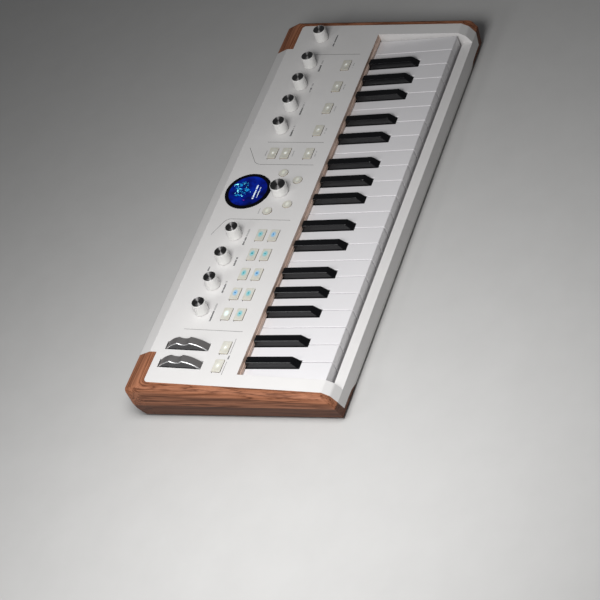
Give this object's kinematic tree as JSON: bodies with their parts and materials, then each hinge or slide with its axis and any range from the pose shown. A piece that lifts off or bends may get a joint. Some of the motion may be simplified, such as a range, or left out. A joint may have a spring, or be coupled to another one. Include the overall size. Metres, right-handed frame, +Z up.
{
  "type": "synthesizer",
  "caption": "Compact desktop keyboard synthesizer with slim keys, wooden end cheeks, knobs, pads, two wheels and a round screen.",
  "frame": {"origin": "on the table, under the middle of the case", "axes": "+X bass to treble, +Y away from the player to the rear connectors, +Z up"},
  "size_m": [0.5, 0.206, 0.0579],
  "materials": {
    "case_white": "satin",
    "base_white": "satin",
    "walnut": "satin",
    "foot_rubber": "matte",
    "screw_steel": "satin",
    "chassis": "matte",
    "display_glass": "gloss",
    "board": "satin",
    "silicone": "satin",
    "wheel_grey": "satin",
    "knob_cap": "satin",
    "key_white": "gloss",
    "key_black": "gloss"
  },
  "bodies": {
    "case": {"top_case": "case_white", "bottom_case": "base_white", "left_cheek": "walnut", "right_cheek": "walnut", "panel_trim": "walnut", "feet": "foot_rubber", "screws": "screw_steel", "key_frame": "chassis", "display_module": "display_glass", "circuit_boards": "board"},
    "button_caps": {"button_caps": "silicone"},
    "pitch_wheel": {"pitch_wheel": "wheel_grey"},
    "mod_wheel": {"mod_wheel": "wheel_grey"},
    "navigation_encoder": {"navigation_encoder": "knob_cap"},
    "macro_knob_1": {"macro_knob_1": "knob_cap"},
    "macro_knob_2": {"macro_knob_2": "knob_cap"},
    "macro_knob_3": {"macro_knob_3": "knob_cap"},
    "macro_knob_4": {"macro_knob_4": "knob_cap"},
    "fx_knob_1": {"fx_knob_1": "knob_cap"},
    "fx_knob_2": {"fx_knob_2": "knob_cap"},
    "fx_knob_3": {"fx_knob_3": "knob_cap"},
    "fx_knob_4": {"fx_knob_4": "knob_cap"},
    "volume_knob": {"volume_knob": "knob_cap"},
    "white_key_c1": {"white_key_c1": "key_white"},
    "black_key_cs1": {"black_key_cs1": "key_black"},
    "white_key_d1": {"white_key_d1": "key_white"},
    "black_key_ds1": {"black_key_ds1": "key_black"},
    "white_key_e1": {"white_key_e1": "key_white"},
    "white_key_f1": {"white_key_f1": "key_white"},
    "black_key_fs1": {"black_key_fs1": "key_black"},
    "white_key_g1": {"white_key_g1": "key_white"},
    "black_key_gs1": {"black_key_gs1": "key_black"},
    "white_key_a1": {"white_key_a1": "key_white"},
    "black_key_as1": {"black_key_as1": "key_black"},
    "white_key_b1": {"white_key_b1": "key_white"},
    "white_key_c2": {"white_key_c2": "key_white"},
    "black_key_cs2": {"black_key_cs2": "key_black"},
    "white_key_d2": {"white_key_d2": "key_white"},
    "black_key_ds2": {"black_key_ds2": "key_black"},
    "white_key_e2": {"white_key_e2": "key_white"},
    "white_key_f2": {"white_key_f2": "key_white"},
    "black_key_fs2": {"black_key_fs2": "key_black"},
    "white_key_g2": {"white_key_g2": "key_white"},
    "black_key_gs2": {"black_key_gs2": "key_black"},
    "white_key_a2": {"white_key_a2": "key_white"},
    "black_key_as2": {"black_key_as2": "key_black"},
    "white_key_b2": {"white_key_b2": "key_white"},
    "white_key_c3": {"white_key_c3": "key_white"},
    "black_key_cs3": {"black_key_cs3": "key_black"},
    "white_key_d3": {"white_key_d3": "key_white"},
    "black_key_ds3": {"black_key_ds3": "key_black"},
    "white_key_e3": {"white_key_e3": "key_white"},
    "white_key_f3": {"white_key_f3": "key_white"},
    "black_key_fs3": {"black_key_fs3": "key_black"},
    "white_key_g3": {"white_key_g3": "key_white"},
    "black_key_gs3": {"black_key_gs3": "key_black"},
    "white_key_a3": {"white_key_a3": "key_white"},
    "black_key_as3": {"black_key_as3": "key_black"},
    "white_key_b3": {"white_key_b3": "key_white"},
    "white_key_c4": {"white_key_c4": "key_white"}
  },
  "joints": [
    {"name": "buttons_press", "type": "slide", "parent": "case", "child": "button_caps", "axis": [0, 0.0785, -0.9969], "range_m": [0, 0.0008], "stiffness_N_per_m": 2000, "springref_m": -0.001},
    {"name": "pitch_wheel_turn", "type": "hinge", "parent": "case", "child": "pitch_wheel", "pos_m": [-0.2187, 0.05489, 0.02487], "axis": [1, 0, 0], "range_deg": [-35, 35], "stiffness_Nm_per_rad": 0.05},
    {"name": "mod_wheel_turn", "type": "hinge", "parent": "case", "child": "mod_wheel", "pos_m": [-0.1973, 0.05489, 0.02487], "axis": [1, 0, 0], "range_deg": [-35, 35]},
    {"name": "encoder_turn", "type": "hinge", "parent": "case", "child": "navigation_encoder", "pos_m": [0, 0.02754, 0.04238], "axis": [0, -0.0785, 0.9969], "continuous": true},
    {"name": "macro_knob_1_turn", "type": "hinge", "parent": "case", "child": "macro_knob_1", "pos_m": [-0.15515, 0.05455, 0.04451], "axis": [0, -0.0785, 0.9969], "continuous": true},
    {"name": "macro_knob_2_turn", "type": "hinge", "parent": "case", "child": "macro_knob_2", "pos_m": [-0.12325, 0.05455, 0.04451], "axis": [0, -0.0785, 0.9969], "continuous": true},
    {"name": "macro_knob_3_turn", "type": "hinge", "parent": "case", "child": "macro_knob_3", "pos_m": [-0.09135, 0.05455, 0.04451], "axis": [0, -0.0785, 0.9969], "continuous": true},
    {"name": "macro_knob_4_turn", "type": "hinge", "parent": "case", "child": "macro_knob_4", "pos_m": [-0.05945, 0.05455, 0.04451], "axis": [0, -0.0785, 0.9969], "continuous": true},
    {"name": "fx_knob_1_turn", "type": "hinge", "parent": "case", "child": "fx_knob_1", "pos_m": [0.08535, 0.05455, 0.04451], "axis": [0, -0.0785, 0.9969], "continuous": true},
    {"name": "fx_knob_2_turn", "type": "hinge", "parent": "case", "child": "fx_knob_2", "pos_m": [0.11725, 0.05455, 0.04451], "axis": [0, -0.0785, 0.9969], "continuous": true},
    {"name": "fx_knob_3_turn", "type": "hinge", "parent": "case", "child": "fx_knob_3", "pos_m": [0.14915, 0.05455, 0.04451], "axis": [0, -0.0785, 0.9969], "continuous": true},
    {"name": "fx_knob_4_turn", "type": "hinge", "parent": "case", "child": "fx_knob_4", "pos_m": [0.18105, 0.05455, 0.04451], "axis": [0, -0.0785, 0.9969], "continuous": true},
    {"name": "volume_turn", "type": "hinge", "parent": "case", "child": "volume_knob", "pos_m": [0.2213, 0.05455, 0.04451], "axis": [0, -0.0785, 0.9969], "range_deg": [-150, 150]},
    {"name": "white_key_c1_press", "type": "hinge", "parent": "case", "child": "white_key_c1", "pos_m": [0, 0.0136, 0.026], "axis": [1, 0, 0], "range_deg": [0, 4], "stiffness_Nm_per_rad": 0.5, "springref_deg": -6.88},
    {"name": "black_key_cs1_press", "type": "hinge", "parent": "case", "child": "black_key_cs1", "pos_m": [0, 0.0136, 0.026], "axis": [1, 0, 0], "range_deg": [0, 4], "stiffness_Nm_per_rad": 0.5, "springref_deg": -6.88},
    {"name": "white_key_d1_press", "type": "hinge", "parent": "case", "child": "white_key_d1", "pos_m": [0, 0.0136, 0.026], "axis": [1, 0, 0], "range_deg": [0, 4], "stiffness_Nm_per_rad": 0.5, "springref_deg": -6.88},
    {"name": "black_key_ds1_press", "type": "hinge", "parent": "case", "child": "black_key_ds1", "pos_m": [0, 0.0136, 0.026], "axis": [1, 0, 0], "range_deg": [0, 4], "stiffness_Nm_per_rad": 0.5, "springref_deg": -6.88},
    {"name": "white_key_e1_press", "type": "hinge", "parent": "case", "child": "white_key_e1", "pos_m": [0, 0.0136, 0.026], "axis": [1, 0, 0], "range_deg": [0, 4], "stiffness_Nm_per_rad": 0.5, "springref_deg": -6.88},
    {"name": "white_key_f1_press", "type": "hinge", "parent": "case", "child": "white_key_f1", "pos_m": [0, 0.0136, 0.026], "axis": [1, 0, 0], "range_deg": [0, 4], "stiffness_Nm_per_rad": 0.5, "springref_deg": -6.88},
    {"name": "black_key_fs1_press", "type": "hinge", "parent": "case", "child": "black_key_fs1", "pos_m": [0, 0.0136, 0.026], "axis": [1, 0, 0], "range_deg": [0, 4], "stiffness_Nm_per_rad": 0.5, "springref_deg": -6.88},
    {"name": "white_key_g1_press", "type": "hinge", "parent": "case", "child": "white_key_g1", "pos_m": [0, 0.0136, 0.026], "axis": [1, 0, 0], "range_deg": [0, 4], "stiffness_Nm_per_rad": 0.5, "springref_deg": -6.88},
    {"name": "black_key_gs1_press", "type": "hinge", "parent": "case", "child": "black_key_gs1", "pos_m": [0, 0.0136, 0.026], "axis": [1, 0, 0], "range_deg": [0, 4], "stiffness_Nm_per_rad": 0.5, "springref_deg": -6.88},
    {"name": "white_key_a1_press", "type": "hinge", "parent": "case", "child": "white_key_a1", "pos_m": [0, 0.0136, 0.026], "axis": [1, 0, 0], "range_deg": [0, 4], "stiffness_Nm_per_rad": 0.5, "springref_deg": -6.88},
    {"name": "black_key_as1_press", "type": "hinge", "parent": "case", "child": "black_key_as1", "pos_m": [0, 0.0136, 0.026], "axis": [1, 0, 0], "range_deg": [0, 4], "stiffness_Nm_per_rad": 0.5, "springref_deg": -6.88},
    {"name": "white_key_b1_press", "type": "hinge", "parent": "case", "child": "white_key_b1", "pos_m": [0, 0.0136, 0.026], "axis": [1, 0, 0], "range_deg": [0, 4], "stiffness_Nm_per_rad": 0.5, "springref_deg": -6.88},
    {"name": "white_key_c2_press", "type": "hinge", "parent": "case", "child": "white_key_c2", "pos_m": [0, 0.0136, 0.026], "axis": [1, 0, 0], "range_deg": [0, 4], "stiffness_Nm_per_rad": 0.5, "springref_deg": -6.88},
    {"name": "black_key_cs2_press", "type": "hinge", "parent": "case", "child": "black_key_cs2", "pos_m": [0, 0.0136, 0.026], "axis": [1, 0, 0], "range_deg": [0, 4], "stiffness_Nm_per_rad": 0.5, "springref_deg": -6.88},
    {"name": "white_key_d2_press", "type": "hinge", "parent": "case", "child": "white_key_d2", "pos_m": [0, 0.0136, 0.026], "axis": [1, 0, 0], "range_deg": [0, 4], "stiffness_Nm_per_rad": 0.5, "springref_deg": -6.88},
    {"name": "black_key_ds2_press", "type": "hinge", "parent": "case", "child": "black_key_ds2", "pos_m": [0, 0.0136, 0.026], "axis": [1, 0, 0], "range_deg": [0, 4], "stiffness_Nm_per_rad": 0.5, "springref_deg": -6.88},
    {"name": "white_key_e2_press", "type": "hinge", "parent": "case", "child": "white_key_e2", "pos_m": [0, 0.0136, 0.026], "axis": [1, 0, 0], "range_deg": [0, 4], "stiffness_Nm_per_rad": 0.5, "springref_deg": -6.88},
    {"name": "white_key_f2_press", "type": "hinge", "parent": "case", "child": "white_key_f2", "pos_m": [0, 0.0136, 0.026], "axis": [1, 0, 0], "range_deg": [0, 4], "stiffness_Nm_per_rad": 0.5, "springref_deg": -6.88},
    {"name": "black_key_fs2_press", "type": "hinge", "parent": "case", "child": "black_key_fs2", "pos_m": [0, 0.0136, 0.026], "axis": [1, 0, 0], "range_deg": [0, 4], "stiffness_Nm_per_rad": 0.5, "springref_deg": -6.88},
    {"name": "white_key_g2_press", "type": "hinge", "parent": "case", "child": "white_key_g2", "pos_m": [0, 0.0136, 0.026], "axis": [1, 0, 0], "range_deg": [0, 4], "stiffness_Nm_per_rad": 0.5, "springref_deg": -6.88},
    {"name": "black_key_gs2_press", "type": "hinge", "parent": "case", "child": "black_key_gs2", "pos_m": [0, 0.0136, 0.026], "axis": [1, 0, 0], "range_deg": [0, 4], "stiffness_Nm_per_rad": 0.5, "springref_deg": -6.88},
    {"name": "white_key_a2_press", "type": "hinge", "parent": "case", "child": "white_key_a2", "pos_m": [0, 0.0136, 0.026], "axis": [1, 0, 0], "range_deg": [0, 4], "stiffness_Nm_per_rad": 0.5, "springref_deg": -6.88},
    {"name": "black_key_as2_press", "type": "hinge", "parent": "case", "child": "black_key_as2", "pos_m": [0, 0.0136, 0.026], "axis": [1, 0, 0], "range_deg": [0, 4], "stiffness_Nm_per_rad": 0.5, "springref_deg": -6.88},
    {"name": "white_key_b2_press", "type": "hinge", "parent": "case", "child": "white_key_b2", "pos_m": [0, 0.0136, 0.026], "axis": [1, 0, 0], "range_deg": [0, 4], "stiffness_Nm_per_rad": 0.5, "springref_deg": -6.88},
    {"name": "white_key_c3_press", "type": "hinge", "parent": "case", "child": "white_key_c3", "pos_m": [0, 0.0136, 0.026], "axis": [1, 0, 0], "range_deg": [0, 4], "stiffness_Nm_per_rad": 0.5, "springref_deg": -6.88},
    {"name": "black_key_cs3_press", "type": "hinge", "parent": "case", "child": "black_key_cs3", "pos_m": [0, 0.0136, 0.026], "axis": [1, 0, 0], "range_deg": [0, 4], "stiffness_Nm_per_rad": 0.5, "springref_deg": -6.88},
    {"name": "white_key_d3_press", "type": "hinge", "parent": "case", "child": "white_key_d3", "pos_m": [0, 0.0136, 0.026], "axis": [1, 0, 0], "range_deg": [0, 4], "stiffness_Nm_per_rad": 0.5, "springref_deg": -6.88},
    {"name": "black_key_ds3_press", "type": "hinge", "parent": "case", "child": "black_key_ds3", "pos_m": [0, 0.0136, 0.026], "axis": [1, 0, 0], "range_deg": [0, 4], "stiffness_Nm_per_rad": 0.5, "springref_deg": -6.88},
    {"name": "white_key_e3_press", "type": "hinge", "parent": "case", "child": "white_key_e3", "pos_m": [0, 0.0136, 0.026], "axis": [1, 0, 0], "range_deg": [0, 4], "stiffness_Nm_per_rad": 0.5, "springref_deg": -6.88},
    {"name": "white_key_f3_press", "type": "hinge", "parent": "case", "child": "white_key_f3", "pos_m": [0, 0.0136, 0.026], "axis": [1, 0, 0], "range_deg": [0, 4], "stiffness_Nm_per_rad": 0.5, "springref_deg": -6.88},
    {"name": "black_key_fs3_press", "type": "hinge", "parent": "case", "child": "black_key_fs3", "pos_m": [0, 0.0136, 0.026], "axis": [1, 0, 0], "range_deg": [0, 4], "stiffness_Nm_per_rad": 0.5, "springref_deg": -6.88},
    {"name": "white_key_g3_press", "type": "hinge", "parent": "case", "child": "white_key_g3", "pos_m": [0, 0.0136, 0.026], "axis": [1, 0, 0], "range_deg": [0, 4], "stiffness_Nm_per_rad": 0.5, "springref_deg": -6.88},
    {"name": "black_key_gs3_press", "type": "hinge", "parent": "case", "child": "black_key_gs3", "pos_m": [0, 0.0136, 0.026], "axis": [1, 0, 0], "range_deg": [0, 4], "stiffness_Nm_per_rad": 0.5, "springref_deg": -6.88},
    {"name": "white_key_a3_press", "type": "hinge", "parent": "case", "child": "white_key_a3", "pos_m": [0, 0.0136, 0.026], "axis": [1, 0, 0], "range_deg": [0, 4], "stiffness_Nm_per_rad": 0.5, "springref_deg": -6.88},
    {"name": "black_key_as3_press", "type": "hinge", "parent": "case", "child": "black_key_as3", "pos_m": [0, 0.0136, 0.026], "axis": [1, 0, 0], "range_deg": [0, 4], "stiffness_Nm_per_rad": 0.5, "springref_deg": -6.88},
    {"name": "white_key_b3_press", "type": "hinge", "parent": "case", "child": "white_key_b3", "pos_m": [0, 0.0136, 0.026], "axis": [1, 0, 0], "range_deg": [0, 4], "stiffness_Nm_per_rad": 0.5, "springref_deg": -6.88},
    {"name": "white_key_c4_press", "type": "hinge", "parent": "case", "child": "white_key_c4", "pos_m": [0, 0.0136, 0.026], "axis": [1, 0, 0], "range_deg": [0, 4], "stiffness_Nm_per_rad": 0.5, "springref_deg": -6.88}
  ]
}
